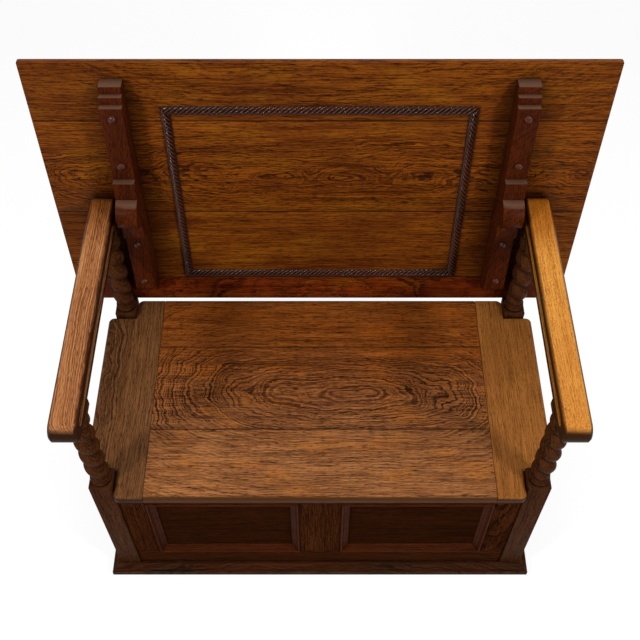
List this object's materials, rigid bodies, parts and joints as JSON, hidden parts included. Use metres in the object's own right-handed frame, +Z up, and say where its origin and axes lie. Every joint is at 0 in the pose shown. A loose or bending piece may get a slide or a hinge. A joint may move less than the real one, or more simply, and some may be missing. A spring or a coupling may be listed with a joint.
{
  "type": "settle bench",
  "caption": "Oak settle bench with a lidded chest seat, twist-turned posts and a back that tips forward to make a table.",
  "frame": {"origin": "middle of the bounding box in plan, on the floor under the posts", "axes": "+X along the bench, to the right for a viewer in front, +Y from the front to the back, +Z up"},
  "size_m": [1.067, 0.5909, 1.0228],
  "materials": {
    "turned_oak": "dark stained oak, waxed, barley twist turning",
    "moulding_oak": "dark stained oak moulding, waxed",
    "seat_oak": "golden brown oak, worn satin polish",
    "top_oak": "golden brown oak boards, satin polish",
    "bearer_oak": "dark stained oak, waxed",
    "arm_oak": "light golden oak, worn by hands, satin polish",
    "carcase_oak": "brown stained oak, waxed",
    "hinge_steel": "plain steel butt hinge, dulled"
  },
  "bodies": {
    "root": {"arm_left": "arm_oak", "arm_right": "arm_oak", "back_bottom_rail": "carcase_oak", "back_muntin": "carcase_oak", "back_panel_left": "carcase_oak", "back_panel_right": "carcase_oak", "back_top_rail": "carcase_oak", "chest_floor": "carcase_oak", "floor_cleat_back": "carcase_oak", "floor_cleat_front": "carcase_oak", "front_bottom_rail": "carcase_oak", "front_muntin": "carcase_oak", "front_panel_left": "carcase_oak", "front_panel_moulding_left": "moulding_oak", "front_panel_moulding_right": "moulding_oak", "front_panel_right": "carcase_oak", "front_post_left": "turned_oak", "front_post_right": "turned_oak", "front_stile_left": "carcase_oak", "front_stile_right": "carcase_oak", "front_top_rail": "carcase_oak", "hinge_leaves_fixed": "hinge_steel", "hinge_pins": "hinge_steel", "plinth_front": "carcase_oak", "plinth_side_left": "carcase_oak", "plinth_side_right": "carcase_oak", "rear_post_left": "turned_oak", "rear_post_right": "turned_oak", "seat_end_left": "seat_oak", "seat_end_right": "seat_oak", "side_bottom_rail_left": "carcase_oak", "side_bottom_rail_right": "carcase_oak", "side_panel_left": "carcase_oak", "side_panel_moulding_left": "moulding_oak", "side_panel_moulding_right": "moulding_oak", "side_panel_right": "carcase_oak", "side_stiles_left": "carcase_oak", "side_stiles_right": "carcase_oak", "side_top_rail_left": "carcase_oak", "side_top_rail_right": "carcase_oak"},
    "top": {"bearer_left": "bearer_oak", "bearer_pegs": "bearer_oak", "bearer_right": "bearer_oak", "pivot_pins": "bearer_oak", "rope_moulding_bottom": "moulding_oak", "rope_moulding_left": "moulding_oak", "rope_moulding_right": "moulding_oak", "rope_moulding_top": "moulding_oak", "top_plank_front": "top_oak", "top_plank_lower": "top_oak", "top_plank_rim": "top_oak", "top_plank_upper": "top_oak"},
    "lid": {"seat_lid": "seat_oak", "lid_battens": "seat_oak", "hinge_leaves_lid": "hinge_steel"}
  },
  "joints": [
    {"name": "top_tip", "type": "hinge", "parent": "root", "child": "top", "pos_m": [0, 0.22542, 0.699], "axis": [1, 0, 0], "range_deg": [0, 94.88]},
    {"name": "lid_hinge", "type": "hinge", "parent": "root", "child": "lid", "pos_m": [0, 0.22703, 0.377], "axis": [-1, 0, 0], "range_deg": [0, 40]}
  ]
}
